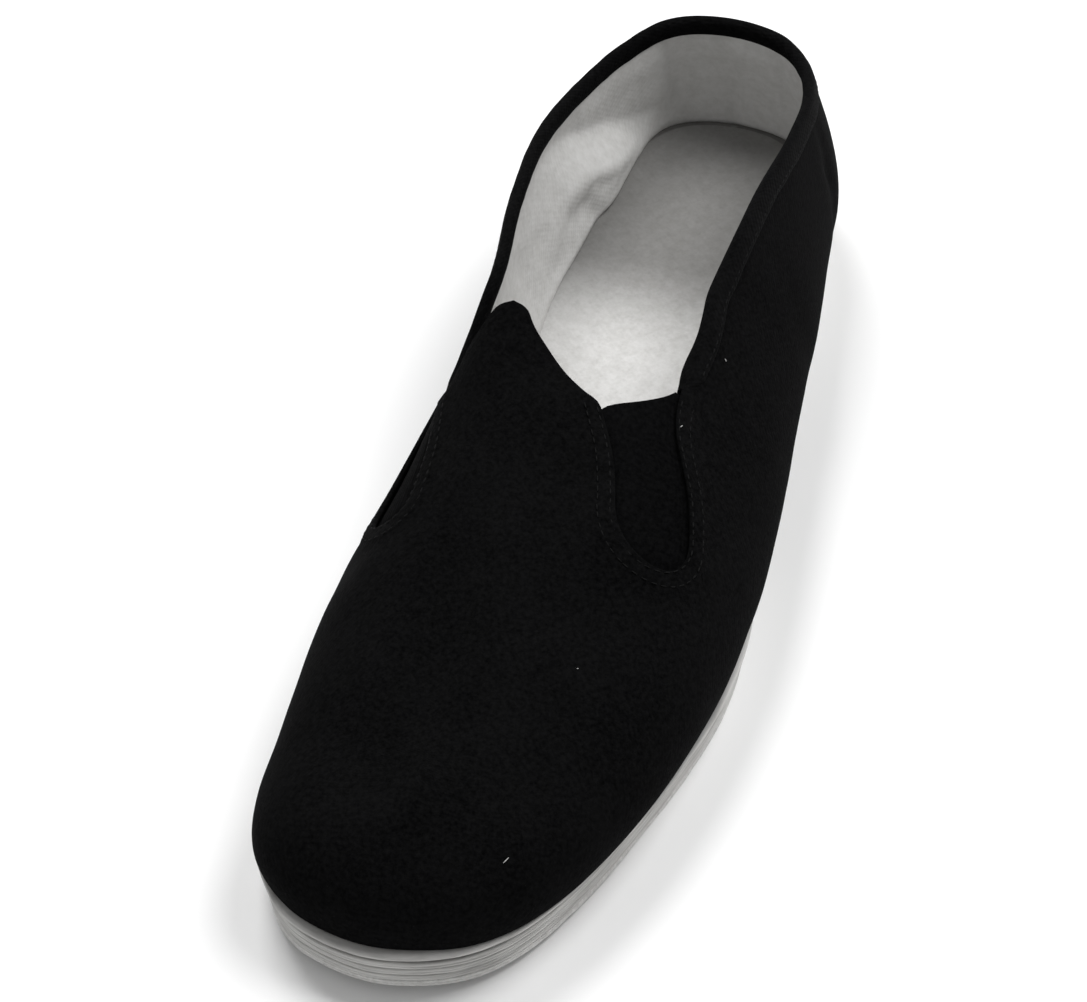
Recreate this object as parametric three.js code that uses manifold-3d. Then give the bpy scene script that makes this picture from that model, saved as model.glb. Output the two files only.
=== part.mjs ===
// Chinese cloth shoe for the left foot: layered cotton sole, cloth upper with a tongue between two
// elastic gores, and a tape round the collar. Millimetres, +Z up, toe towards -Y, outer side of the
// foot towards +X, origin on the floor under the middle of the shoe.

import * as THREE from 'three';
import { mergeVertices } from 'three/addons/utils/BufferGeometryUtils.js';
import Module from 'manifold-3d';

const wasm = await Module();
wasm.setup();

// Sole
const SOLE_LENGTH = 270;
const BALL_WIDTH = 92;
const PLY_COUNT = 5;
const PLY_THICK = 2.05;
const TOE_SPRING = 3.2;
const SPRING_FROM = 0.72; // share of the length from the heel where the toe starts to lift
const PLY_EDGE = 0.45; // how far the bound edge of a ply rounds back at its top and bottom
const SOLE_TAPER = 2.2; // the lowest ply lies this far inside the top one, along the sides

// Upper
const INSTEP_HEIGHT = 56; // of the upper over the sole, at the tip of the tongue
const COLLAR_HEIGHT = 44; // of the quarters over the sole, beside the ankle
const WALL = 2;
const WELT = 1.5; // the top ply stands out past the upper, except beside the little toe
const SIDE_SWELL = 9; // how far the soft side walls swell out past the sole
const SWELL_HEIGHT = 14; // of the swell's widest line over the sole
const SPINE_HEEL = 0.105; // share of the length where the ribs of the heel fan out
const SPINE_TOE = 0.875; // and where those of the toe do
const SPINE_EASE = 0.025;

// Tongue and gores, measured round the foot from the ridge of the instep
const TONGUE_TIP = 0.462; // share of the length from the heel
const THROAT = 0.529; // share of the length at the foot of the tongue's free edges
const QUARTER_FRONT = 0.474; // share of the length at the front corners of the quarters
const CORNER_SETBACK = 1.8; // the quarters stand this much further apart at those corners than beside the gores
const COLLAR_DIP = 0.385; // share of the length where the collar starts to run down to those corners
const TONGUE_SPREAD = 1.15; // the tongue widens this much down to the end of the gores
const GORE_END = 0.648; // share of the length at the round end of the gores
const GORE_SHOULDER = 2.5; // the gore's top edge starts this far in front of the quarter's corner
const GORE_TIP = 0.2; // the round end is cut off this far from its point
const GORE_RECESS = 0.7;
const GORE_FLANGE = 5; // hidden margin that is sewn under the upper
const GORE_THICK = 1;
const SEAM_WIDTH = 5; // raised band that is stitched round each gore
const SEAM_RISE = 0.6;
const TONGUE_HALF_LATERAL = 22.5;
const TONGUE_HALF_MEDIAL = 22;
const GORE_WIDTH_LATERAL = 19;
const GORE_WIDTH_MEDIAL = 12;
const SIDES = [
  { name: 'lateral', sign: 1, tongueHalf: TONGUE_HALF_LATERAL, goreWidth: GORE_WIDTH_LATERAL },
  { name: 'medial', sign: -1, tongueHalf: TONGUE_HALF_MEDIAL, goreWidth: GORE_WIDTH_MEDIAL },
];

// Insole, collar tape and the air between pieces
const INSOLE_THICK = 2.6;
const TAPE_WIDTH = 5;
const TAPE_THICK = 0.7;
const TAPE_AIR = 0.6; // between the wall's edge and the fold
const TAPE_ROUND = 0.5; // radius of the tape's fold
const TAPE_FRONT = 0.469; // share of the length where the tape ends beside the gores
const CLEAR = 0.3;

// How finely the curves are divided
const RIBS_PER_SECTION = 3;
const STEPS_UP_RIB = 10;
const CUT_REACH = 6; // a cutting solid reaches this far past each face of the wall

const SOLE_TOP = PLY_COUNT * PLY_THICK + (PLY_COUNT - 1) * CLEAR;
const BLACK_CLOTH = 0x121212;
const WHITE_COTTON = 0xe9e7e1;

// A table with named columns becomes a list of rows with those names.
function table(columns, rows) {
  return rows.map((row) => Object.fromEntries(columns.map((name, i) => [name, row[i]])));
}

// Sections of the last from heel to toe. along is a share of the length, lateral, medial and crest
// (how far the ridge lies to the medial side) are shares of the ball width, ridge is a share of the
// instep height, the swells are shares of the side swell, and round is the roundness of the section.
const SHAPE = ['lateral', 'medial', 'ridge', 'crest', 'lateralSwell', 'medialSwell', 'round'];
const SECTION_COLUMNS = ['along', ...SHAPE];
const SECTIONS = table(SECTION_COLUMNS, [
  [0.0, 0.0, 0.0, 1.46, 0.0, 0.15, 0.15, 1.9],
  [0.012, 0.165, 0.165, 1.46, 0.0, 0.15, 0.15, 1.9],
  [0.05, 0.272, 0.27, 1.46, 0.0, 0.3, 0.15, 1.95],
  [0.11, 0.339, 0.339, 1.45, 0.01, 0.45, 0.18, 2.1],
  [0.19, 0.366, 0.375, 1.42, 0.03, 0.6, 0.3, 2.3],
  [0.29, 0.38, 0.359, 1.34, 0.07, 0.96, 0.5, 2.3],
  [0.39, 0.407, 0.322, 1.16, 0.15, 1.05, 0.5, 2.3],
  [0.49, 0.459, 0.332, 0.975, 0.215, 0.96, 0.6, 2.3],
  [0.58, 0.518, 0.389, 0.839, 0.12, 0.54, 0.42, 2.3],
  [0.66, 0.527, 0.461, 0.733, 0.055, 0.31, 0.2, 2.3],
  [0.74, 0.487, 0.48, 0.632, 0.03, 0.34, 0.1, 2.4],
  [0.82, 0.424, 0.467, 0.528, 0.02, 0.32, 0.12, 2.4],
  [0.895, 0.342, 0.444, 0.434, 0.01, 0.24, 0.16, 2.5],
  [0.95, 0.25, 0.362, 0.392, 0.0, 0.15, 0.16, 2.5],
  [0.985, 0.122, 0.243, 0.371, 0.0, 0.05, 0.05, 2.5],
  [1.0, -0.061, 0.061, 0.371, 0.0, 0.05, 0.05, 2.5],
]);

// How far in from the sole's edge the upper's foot lies on each side, as a share of the welt, and the
// lowest ply, as a share of the taper. Beside the little toe the upper hangs over the sole.
const EDGES = table(['along', 'lateralWelt', 'medialWelt', 'lateralTaper', 'medialTaper'], [
  [0.0, 1, 1, 1, 1],
  [0.6, 1, 1, 1, 1],
  [0.7, 0.5, 1, 1.15, 1],
  [0.8, -0.2, 1, 1.3, 0.9],
  [0.89, -0.4, 0.8, 1.0, 0.6],
  [0.94, 0.1, 0.2, 0.85, 0.45],
  [0.975, 0.6, 0.9, 0.65, 0.4],
  [1.0, 1.3, 1.3, 0.5, 0.5],
]);

// Height of the collar over the sole on each side, as a share of the collar height.
const COLLAR = table(['along', 'lateral', 'medial'], [
  [0.0, 0.81, 0.81],
  [0.06, 0.85, 0.78],
  [0.16, 0.99, 0.85],
  [0.27, 1.12, 0.99],
  [0.38, 1.1, 1.01],
  [0.46, 0.99, 0.91],
]);

// Free edge of the tongue, as a share of its half width, between its tip (0) and the throat (1).
const TONGUE_EDGE = table(['down', 'half'], [
  [0.0, 0.0],
  [0.03, 0.12],
  [0.1, 0.19],
  [0.21, 0.25],
  [0.34, 0.34],
  [0.49, 0.46],
  [0.64, 0.57],
  [0.79, 0.69],
  [0.92, 0.85],
  [1.0, 1.0],
]);

function mix(a, b, f) {
  return a + (b - a) * f;
}

function smooth(f) {
  const g = THREE.MathUtils.clamp(f, 0, 1);
  return g * g * (3 - 2 * g);
}

function catmull(a, b, c, d, f) {
  const linear = c - a;
  const square = 2 * a - 5 * b + 4 * c - d;
  const cube = 3 * b - a - 3 * c + d;
  return 0.5 * (2 * b + linear * f + square * f * f + cube * f ** 3);
}

// The row beyond either tip is its neighbour seen from the other side, so the outline runs round.
function sectionRow(i) {
  if (i >= 0 && i < SECTIONS.length) return SECTIONS[i];
  const near = i < 0 ? SECTIONS[1] : SECTIONS[SECTIONS.length - 2];
  return { ...near, lateral: -near.medial, medial: -near.lateral };
}

// All columns at a row number that may lie between two rows.
function section(row) {
  const k = THREE.MathUtils.clamp(Math.floor(row), 0, SECTIONS.length - 2);
  const rows = [k - 1, k, k + 1, k + 2].map(sectionRow);
  const at = (name) => catmull(...rows.map((r) => r[name]), row - k);
  return Object.fromEntries(SECTION_COLUMNS.map((name) => [name, at(name)]));
}

const LAST_ROW = SECTIONS.length - 1;

// Row number of the section at a share of the length.
function rowAt(along) {
  let low = 0;
  let high = LAST_ROW;
  for (let i = 0; i < 40; i += 1) {
    const middle = (low + high) / 2;
    if (section(middle).along < along) low = middle;
    else high = middle;
  }
  return (low + high) / 2;
}

// Value of a column of a small table, smooth between its rows.
function lookup(rows, key, column, value) {
  const last = rows.length - 1;
  if (value <= rows[0][key]) return rows[0][column];
  if (value >= rows[last][key]) return rows[last][column];
  const k = rows.findIndex((row) => row[key] > value) - 1;
  const f = (value - rows[k][key]) / (rows[k + 1][key] - rows[k][key]);
  const row = (i) => rows[THREE.MathUtils.clamp(i, 0, last)][column];
  return catmull(row(k - 1), row(k), row(k + 1), row(k + 2), f);
}

function lengthwise(along) {
  return SOLE_LENGTH * (0.5 - along);
}

function spring(along) {
  return TOE_SPRING * Math.max(0, (along - SPRING_FROM) / (1 - SPRING_FROM)) ** 2;
}

// Outline of the sole on one side, moved outwards by grow.
function outline(sign, row, grow) {
  const across = (r) => (sign > 0 ? section(r).lateral : -section(r).medial) * BALL_WIDTH;
  const step = 0.01;
  const dx = across(row + step) - across(row - step);
  const dy = lengthwise(section(row + step).along) - lengthwise(section(row - step).along);
  const scale = (grow * sign) / Math.hypot(dx, dy);
  const along = section(row).along;
  return { x: across(row) - dy * scale, y: lengthwise(along) + dx * scale, along };
}

function edgeShare(sign, along, name) {
  return lookup(EDGES, 'along', (sign > 0 ? 'lateral' : 'medial') + name, along);
}

// Line of the upper's foot on one side, moved outwards by grow.
function seat(sign, row, grow) {
  return outline(sign, row, grow - WELT * edgeShare(sign, section(row).along, 'Welt'));
}

// Ribs at the sides stand square to the length. Those round the heel and the toe meet at the spine's ends.
function spineAt(along) {
  const ease = (a, b) => Math.hypot(a - b, 2 * SPINE_EASE);
  const back = (along + SPINE_HEEL + ease(along, SPINE_HEEL)) / 2;
  return (back + SPINE_TOE - ease(back, SPINE_TOE)) / 2;
}

// Foot, spine and height of the rib of the last that starts at one place of the outline. Both sides
// share the rib at the tip of the heel and the one at the tip of the toe.
function rib(side, row, grow) {
  const sign = row > 0 && row < LAST_ROW ? side : 1;
  const foot = seat(sign, row, grow);
  const along = spineAt(foot.along);
  const spine = section(rowAt(along));
  const here = section(row);
  const x = ((spine.lateral - spine.medial) / 2 - spine.crest) * BALL_WIDTH;
  const base = SOLE_TOP + CLEAR + spring(foot.along);
  const peak = SOLE_TOP + CLEAR + spring(along) + spine.ridge * INSTEP_HEIGHT + grow;
  const swell = (sign > 0 ? here.lateralSwell : here.medialSwell) * SIDE_SWELL;
  return { foot, x, y: lengthwise(along), base, peak, rise: peak - base, swell, round: spine.round };
}

// Point of a rib, with turn 0 at the sole and 1 at the ridge.
function ribPoint(r, turn) {
  if (turn >= 1) return new THREE.Vector3(r.x, r.y, r.peak);
  const angle = (Math.max(0, turn) * Math.PI) / 2;
  const out = Math.cos(angle) ** (2 / r.round);
  const height = r.rise * Math.sin(angle) ** (2 / r.round);
  const dx = r.foot.x - r.x;
  const dy = r.foot.y - r.y;
  const rising = height / SWELL_HEIGHT;
  const bulge = (r.swell * rising * Math.exp(1 - rising) * (1 - turn ** 4)) / Math.hypot(dx, dy);
  return new THREE.Vector3(r.x + dx * (out + bulge), r.y + dy * (out + bulge), r.base + height);
}

function lastPoint(sign, row, turn, grow) {
  return ribPoint(rib(sign, row, grow), turn);
}

// Turn of a rib at a height over the sole.
function turnAtHeight(r, height) {
  const share = THREE.MathUtils.clamp(height / r.rise, 0, 1);
  return (Math.asin(share ** (r.round / 2)) * 2) / Math.PI;
}

// Distance round the foot from the ridge down to a turn of a rib.
function girthTo(r, turn) {
  const steps = 60;
  let girth = 0;
  let above = ribPoint(r, 1);
  for (let i = 1; i <= steps; i += 1) {
    const point = ribPoint(r, mix(1, turn, i / steps));
    girth += point.distanceTo(above);
    above = point;
  }
  return girth;
}

// Turn of a rib at a distance round the foot from the ridge.
function turnAtGirth(r, girth) {
  const step = 1 / 90;
  let left = girth;
  let above = ribPoint(r, 1);
  for (let turn = 1 - step; turn > 0; turn -= step) {
    const point = ribPoint(r, turn);
    const length = point.distanceTo(above);
    if (length >= left) return turn + step * (1 - left / length);
    left -= length;
    above = point;
  }
  return 0;
}

// Distances from the ridge to the tongue's edge and to the quarter's edge beside the gore.
function tongueEdge(side, along) {
  const down = (along - TONGUE_TIP) / (THROAT - TONGUE_TIP);
  if (down <= 1) return side.tongueHalf * lookup(TONGUE_EDGE, 'down', 'half', down);
  return side.tongueHalf * mix(1, TONGUE_SPREAD, (along - THROAT) / (GORE_END - THROAT));
}

function quarterEdge(side, along) {
  const down = Math.max(0, (along - THROAT) / (GORE_END - THROAT));
  const setback = CORNER_SETBACK * smooth((THROAT - along) / (THROAT - TONGUE_TIP));
  return side.tongueHalf * mix(1, TONGUE_SPREAD, down) + side.goreWidth + setback;
}

// Turn of the collar's edge. It eases from the height in the table to the quarter's front corner.
function collarTurn(side, row) {
  const r = rib(side.sign, row, 0);
  const along = section(row).along;
  const free = turnAtHeight(r, COLLAR_HEIGHT * lookup(COLLAR, 'along', side.name, along));
  const corner = turnAtGirth(r, quarterEdge(side, along));
  return mix(free, corner, smooth((along - COLLAR_DIP) / (TONGUE_TIP - COLLAR_DIP)));
}

// Closed body between rings of points. Each end is closed by pairing a ring's first half with its second.
function loft(rings, closeFirst = true, closeLast = true) {
  const size = rings[0].length;
  const positions = rings.flat().flatMap((p) => [p.x, p.y, p.z]);
  const index = [];
  for (let i = 0; i < rings.length - 1; i += 1) {
    for (let j = 0; j < size; j += 1) {
      const a = i * size + j;
      const b = i * size + ((j + 1) % size);
      index.push(a, b, b + size, a, b + size, a + size);
    }
  }
  const close = (start, flip) => {
    for (let j = 0; j < size / 2 - 1; j += 1) {
      const quad = [j, j + 1, size - 2 - j, size - 1 - j].map((k) => start + k);
      const order = flip ? [0, 2, 1, 0, 3, 2] : [0, 1, 2, 0, 2, 3];
      index.push(...order.map((k) => quad[k]));
    }
  };
  if (closeFirst) close(0, true);
  if (closeLast) close((rings.length - 1) * size, false);
  return bodyOf(positions, index);
}

function bodyOf(positions, index) {
  const geometry = new THREE.BufferGeometry();
  geometry.setAttribute('position', new THREE.Float32BufferAttribute(positions, 3));
  geometry.setIndex(index);
  return mergeVertices(geometry, 1e-3);
}

// Manifold solid of a closed geometry, turned so that its faces point outwards.
function solid(geometry) {
  const vertProperties = new Float32Array(geometry.attributes.position.array);
  const corner = (i) => new THREE.Vector3().fromArray(vertProperties, 3 * i);
  const corners = geometry.index.array;
  const triVerts = [];
  let volume = 0;
  for (let i = 0; i < corners.length; i += 3) {
    const [a, b, c] = corners.slice(i, i + 3);
    if (a === b || b === c || c === a) continue;
    triVerts.push(a, b, c);
    volume += corner(a).dot(corner(b).cross(corner(c)));
  }
  if (volume < 0) triVerts.reverse();
  const mesh = { numProp: 3, vertProperties, triVerts: new Uint32Array(triVerts) };
  return new wasm.Manifold(new wasm.Mesh(mesh));
}

function meshOf(name, made, color, roughness) {
  const { vertProperties, triVerts } = made.getMesh();
  const geometry = bodyOf(vertProperties, Array.from(triVerts));
  const mesh = new THREE.Mesh(geometry, new THREE.MeshStandardMaterial({ color, roughness, metalness: 0 }));
  mesh.name = name;
  return mesh;
}

// Row numbers of the ribs from the heel to the toe.
const RIBS = Array.from({ length: LAST_ROW * RIBS_PER_SECTION + 1 }, (_, i) => i / RIBS_PER_SECTION);

// Runs out along the lateral side and back along the medial one.
function ringOf(pointAt) {
  return [...RIBS.map((row) => pointAt(1, row)), ...RIBS.map((row) => pointAt(-1, row)).reverse()];
}

// One layer of the sole with its bound edge, following the toe spring.
function solePly(level) {
  const floor = level * (PLY_THICK + CLEAR);
  const drawn = (1 - level / (PLY_COUNT - 1)) ** 0.8;
  const profile = [
    [PLY_EDGE, 0],
    [0, 0.5],
    [PLY_EDGE, 1],
  ];
  const rings = profile.map(([back, up]) =>
    ringOf((sign, row) => {
      const inset = SOLE_TAPER * drawn * edgeShare(sign, section(row).along, 'Taper');
      const edge = outline(sign, row, -inset - back);
      return new THREE.Vector3(edge.x, edge.y, floor + up * PLY_THICK + spring(edge.along));
    }),
  );
  return solid(loft(rings));
}

// The sock lies on the sole inside the upper.
function insole() {
  const rings = [CLEAR, CLEAR + INSOLE_THICK].map((height) =>
    ringOf((sign, row) => {
      const edge = seat(sign, row, -WALL - CLEAR);
      return new THREE.Vector3(edge.x, edge.y, SOLE_TOP + height + spring(edge.along));
    }),
  );
  return solid(loft(rings));
}

// The whole last as a solid, grown by a distance and let down past the sole.
function lastSolid(grow, sink) {
  const turns = Array.from({ length: STEPS_UP_RIB + 1 }, (_, i) => i / STEPS_UP_RIB);
  const ribs = new Map();
  const key = (sign, row) => sign * (row + 1);
  RIBS.forEach((row) => [1, -1].forEach((sign) => ribs.set(key(sign, row), rib(sign, row, grow))));
  const rings = turns.map((turn) => ringOf((sign, row) => ribPoint(ribs.get(key(sign, row)), turn)));
  if (sink > 0) rings.unshift(rings[0].map((p) => new THREE.Vector3(p.x, p.y, p.z - sink)));
  return solid(loft(rings, true, false));
}

// Closed band on the last's surface. Each station gives its places [sign, row, turn] from edge to edge.
function surfaceBand(stations, inner, outer, closeFirst = true) {
  const rings = stations.map((places) => [
    ...places.map(([sign, row, turn]) => lastPoint(sign, row, turn, outer)),
    ...places.map(([sign, row, turn]) => lastPoint(sign, row, turn, inner)).reverse(),
  ]);
  return solid(loft(rings, closeFirst, true));
}

function spread(count, from, to) {
  return Array.from({ length: count + 1 }, (_, i) => mix(from, to, i / count));
}

// Row numbers along the collar from the heel to the tip of the tongue.
function collarRows() {
  return spread(34, 0, rowAt(TONGUE_TIP));
}

// All that is open above the collar, from the heel to the tip of the tongue.
function mouth() {
  const steps = 5;
  const stations = collarRows().map((row) => {
    const [lateral, medial] = SIDES.map((side) =>
      spread(steps, collarTurn(side, row), 1).map((turn) => [side.sign, row, turn]),
    );
    return [...lateral, ...medial.reverse().slice(1)];
  });
  return surfaceBand(stations, -WALL - CUT_REACH, CUT_REACH, false);
}

// A patch of one side between two distances from the ridge, given for each share of the length.
function sidePatch(side, alongs, from, to, inner, outer) {
  const steps = 5;
  const stations = alongs.map((along) => {
    const row = rowAt(along);
    const r = rib(side.sign, row, 0);
    const near = turnAtGirth(r, from(along));
    const far = turnAtGirth(r, to(along));
    return spread(steps, far, near).map((turn) => [side.sign, row, turn]);
  });
  return surfaceBand(stations, inner, outer);
}

// Half the width lost to the round end of a gore that is grown by a margin.
function roundEnd(side, along, margin) {
  const radius = side.goreWidth / 2 + margin;
  const left = (GORE_END - along) * SOLE_LENGTH + margin;
  if (left >= radius) return 0;
  return radius - Math.sqrt(Math.max(0, radius ** 2 - (radius - left) ** 2));
}

// Shares of the length down a gore, closer together at its round end.
function goreStations(from, margin) {
  const end = GORE_END + (margin - GORE_TIP) / SOLE_LENGTH;
  return spread(9, 0, 1).map((f) => mix(from, end, Math.sin((f * Math.PI) / 2)));
}

// The slot that is cut in the upper for a gore, together with the tongue's free edge.
function goreSlot(side, inner, outer, margin = 0, from = TONGUE_TIP - 0.004) {
  const free = spread(9, from, THROAT).slice(0, -1);
  const alongs = from < THROAT ? [...free, ...goreStations(THROAT, margin)] : goreStations(from, margin);
  const near = (along) => tongueEdge(side, along) - margin + roundEnd(side, along, margin);
  const far = (along) => quarterEdge(side, along) + margin - roundEnd(side, along, margin);
  return sidePatch(side, alongs, near, far, inner, outer);
}

// The gore shows between the tongue and the quarter. Its top edge runs straight from one to the other.
function goreTop(side, along) {
  const down = (along - QUARTER_FRONT) / (THROAT - QUARTER_FRONT);
  return mix(quarterEdge(side, QUARTER_FRONT), tongueEdge(side, THROAT), down);
}

function gore(side) {
  const panel = (margin, inner, outer) => {
    const near = (along) => {
      const edge = tongueEdge(side, Math.max(along, THROAT)) - margin + roundEnd(side, along, margin);
      return Math.max(edge, goreTop(side, along) - Math.min(margin, 0));
    };
    const far = (along) => quarterEdge(side, along) + margin - roundEnd(side, along, margin);
    const start = QUARTER_FRONT + GORE_SHOULDER / SOLE_LENGTH;
    const alongs = [...spread(5, start, THROAT).slice(0, -1), ...goreStations(THROAT, margin)];
    return sidePatch(side, alongs, near, far, inner, outer);
  };
  const flangeTop = -WALL - CLEAR;
  const window = panel(-CLEAR, flangeTop - GORE_THICK * 0.6, -GORE_RECESS);
  return window.add(panel(GORE_FLANGE, flangeTop - GORE_THICK, flangeTop));
}

// Cloth upper: a wall of even thickness round the last, open underneath, at the collar and at the gores.
function upper() {
  let body = lastSolid(0, 0).subtract(lastSolid(-WALL, CUT_REACH));
  for (const side of SIDES) {
    const seam = goreSlot(side, -WALL / 2, SEAM_RISE, SEAM_WIDTH, THROAT + 0.012);
    body = body.add(seam);
  }
  body = body.subtract(mouth());
  for (const side of SIDES) body = body.subtract(goreSlot(side, -WALL - CUT_REACH, CUT_REACH));
  return body;
}

// Tape folded over the collar's edge, from one gore round the heel to the other.
function collarTape() {
  const face = CLEAR + TAPE_THICK;
  const top = TAPE_AIR + TAPE_THICK;
  const fold = table(['out', 'down'], [
    [face, TAPE_WIDTH],
    [face, TAPE_ROUND - top],
    [face - TAPE_ROUND, -top],
    [-WALL - face + TAPE_ROUND, -top],
    [-WALL - face, TAPE_ROUND - top],
    [-WALL - face, TAPE_WIDTH],
    [-WALL - CLEAR, TAPE_WIDTH],
    [-WALL - CLEAR, -TAPE_AIR],
    [CLEAR, -TAPE_AIR],
    [CLEAR, TAPE_WIDTH],
  ]);
  const ringAt = (side, row) => {
    const edge = collarTurn(side, row);
    return fold.map(({ out, down }) => {
      const r = rib(side.sign, row, out);
      return ribPoint(r, turnAtGirth(r, girthTo(r, edge) + down));
    });
  };
  const rows = [...collarRows(), rowAt(TAPE_FRONT)];
  const [lateral, medial] = SIDES.map((side) => rows.map((row) => ringAt(side, row)));
  return solid(loft([...lateral.reverse(), ...medial.slice(1)]));
}

const shoe = new THREE.Group();
for (let level = 0; level < PLY_COUNT; level += 1) {
  shoe.add(meshOf(`sole_ply_${level + 1}`, solePly(level), WHITE_COTTON, 0.95));
}
shoe.add(meshOf('insole', insole(), WHITE_COTTON, 0.95));
shoe.add(meshOf('upper', upper(), BLACK_CLOTH, 0.95));
for (const side of SIDES) shoe.add(meshOf(`gore_${side.name}`, gore(side), BLACK_CLOTH, 0.9));
shoe.add(meshOf('collar_binding', collarTape(), BLACK_CLOTH, 0.85));

// The origin lies on the floor under the middle of the whole shoe.
const middle = new THREE.Box3().setFromObject(shoe).getCenter(new THREE.Vector3());
shoe.position.set(-middle.x, -middle.y, 0);

export default shoe;
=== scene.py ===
import math
from collections import namedtuple
from functools import lru_cache

import bmesh
import bpy
from mathutils import Matrix, Vector, noise
from mathutils.bvhtree import BVHTree
from mathutils.kdtree import KDTree


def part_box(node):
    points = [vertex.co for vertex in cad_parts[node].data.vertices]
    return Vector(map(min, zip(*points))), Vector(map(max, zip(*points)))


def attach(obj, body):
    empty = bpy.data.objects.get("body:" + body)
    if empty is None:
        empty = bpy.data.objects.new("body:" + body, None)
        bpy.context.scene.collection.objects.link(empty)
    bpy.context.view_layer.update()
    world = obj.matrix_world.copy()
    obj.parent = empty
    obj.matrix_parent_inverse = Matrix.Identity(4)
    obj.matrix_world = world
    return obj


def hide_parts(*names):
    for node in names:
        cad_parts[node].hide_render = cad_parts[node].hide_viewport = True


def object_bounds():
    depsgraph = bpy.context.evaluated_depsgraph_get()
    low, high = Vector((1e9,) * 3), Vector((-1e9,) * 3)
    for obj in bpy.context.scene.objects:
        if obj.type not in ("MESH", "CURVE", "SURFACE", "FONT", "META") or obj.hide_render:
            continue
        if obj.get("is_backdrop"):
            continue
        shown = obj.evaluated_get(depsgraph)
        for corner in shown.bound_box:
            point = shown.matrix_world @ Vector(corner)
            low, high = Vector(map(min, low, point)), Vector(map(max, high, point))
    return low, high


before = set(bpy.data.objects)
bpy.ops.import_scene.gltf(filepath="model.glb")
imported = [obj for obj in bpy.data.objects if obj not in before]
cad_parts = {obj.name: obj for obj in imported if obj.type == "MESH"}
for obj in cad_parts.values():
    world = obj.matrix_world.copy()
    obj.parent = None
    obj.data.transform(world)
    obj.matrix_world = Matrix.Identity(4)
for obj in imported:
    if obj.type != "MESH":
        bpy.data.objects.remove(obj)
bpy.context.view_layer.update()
scene = bpy.context.scene
MM = 0.001

# The camera stands in front of the toe, a little to the outer side, and looks down from about 48
# degrees as the photographer did. From there it turns until the one shoe is in the middle.
PHOTO_WIDTH = 1087
PHOTO_HEIGHT = 1002
SENSOR_WIDTH = 36
FOCAL_SHARE = 5.005
AZIMUTH = math.radians(18.659)
ELEVATION = math.radians(47.541)
ROLL = math.radians(-3.958)
DISTANCE = 1235.1
STEP_RIGHT = 49.7
STEP_UP = -12.3
STUDY_POINT = Vector((-3.0, 0, 30))
SHOE_MIDDLE_X = 296
SHOE_MIDDLE_Y = 487

level = Vector((math.cos(AZIMUTH), math.sin(AZIMUTH), 0))
ahead = Vector((math.sin(AZIMUTH), -math.cos(AZIMUTH), 0))
back = ahead * math.cos(ELEVATION) + Vector((0, 0, math.sin(ELEVATION)))
right = level * math.cos(ROLL) + back.cross(level) * math.sin(ROLL)
up = back.cross(right)
stand = STUDY_POINT + back * DISTANCE + right * STEP_RIGHT + up * STEP_UP
focal_pixels = FOCAL_SHARE * PHOTO_WIDTH
aim = -back + (
    right * (SHOE_MIDDLE_X - PHOTO_WIDTH / 2) - up * (SHOE_MIDDLE_Y - PHOTO_HEIGHT / 2)
) / focal_pixels
back = -aim.normalized()
right = (right - back * right.dot(back)).normalized()
up = back.cross(right)

camera = bpy.data.objects.new("camera", bpy.data.cameras.new("camera"))
camera.data.sensor_width = SENSOR_WIDTH
camera.data.lens = FOCAL_SHARE * SENSOR_WIDTH
camera.data.clip_start = 0.1
camera.data.clip_end = 30
camera.matrix_world = Matrix.Translation(stand * MM) @ Matrix((right, up, back)).transposed().to_4x4()
scene.collection.objects.link(camera)
scene.camera = camera


# The floor is a sheet of plain pale paper. Two large soft lights hang high behind the heel, one on
# each side, and a pale sky fills the rest, so the sole's edge lies in soft shade.
FLOOR_HALF = 8
FLOOR_COLOR = (0.93, 0.93, 0.93, 1)
INNER_LIGHT = (Vector((-0.8, 1.0, 2.1)), 1.1, 34)
OUTER_LIGHT = (Vector((0.95, 0.75, 2.0)), 1.3, 34)
SKY_STRENGTH = 0.4


def node(tree, kind, **settings):
    made = tree.nodes.new(kind)
    for name, value in settings.items():
        setattr(made, name, value)
    return made


def feed(tree, socket, source):
    """Join a source socket to a socket, or set a plain value on it."""
    if isinstance(source, bpy.types.NodeSocket):
        tree.links.new(source, socket)
    else:
        socket.default_value = source


def link_piece(name, bm):
    mesh = bpy.data.meshes.new(name)
    bm.to_mesh(mesh)
    bm.free()
    mesh.polygons.foreach_set("use_smooth", [True] * len(mesh.polygons))
    made = bpy.data.objects.new(name, mesh)
    scene.collection.objects.link(made)
    return made


def paper_material():
    made = bpy.data.materials.new("paper")
    made.use_nodes = True
    shader = made.node_tree.nodes["Principled BSDF"]
    shader.inputs["Base Color"].default_value = FLOOR_COLOR
    shader.inputs["Roughness"].default_value = 0.9
    shader.inputs["Specular IOR Level"].default_value = 0.1
    return made


floor_mesh = bmesh.new()
bmesh.ops.create_grid(floor_mesh, x_segments=4, y_segments=4, size=FLOOR_HALF)
floor = link_piece("floor", floor_mesh)
floor.data.materials.append(paper_material())
floor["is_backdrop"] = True


def soft_light(name, place, size, power):
    made = bpy.data.objects.new(name, bpy.data.lights.new(name, "AREA"))
    made.data.shape = "DISK"
    made.data.size = size
    made.data.energy = power
    made.matrix_world = Matrix.Translation(place) @ place.to_track_quat("Z", "Y").to_matrix().to_4x4()
    scene.collection.objects.link(made)


soft_light("inner_light", *INNER_LIGHT)
soft_light("outer_light", *OUTER_LIGHT)

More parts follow.
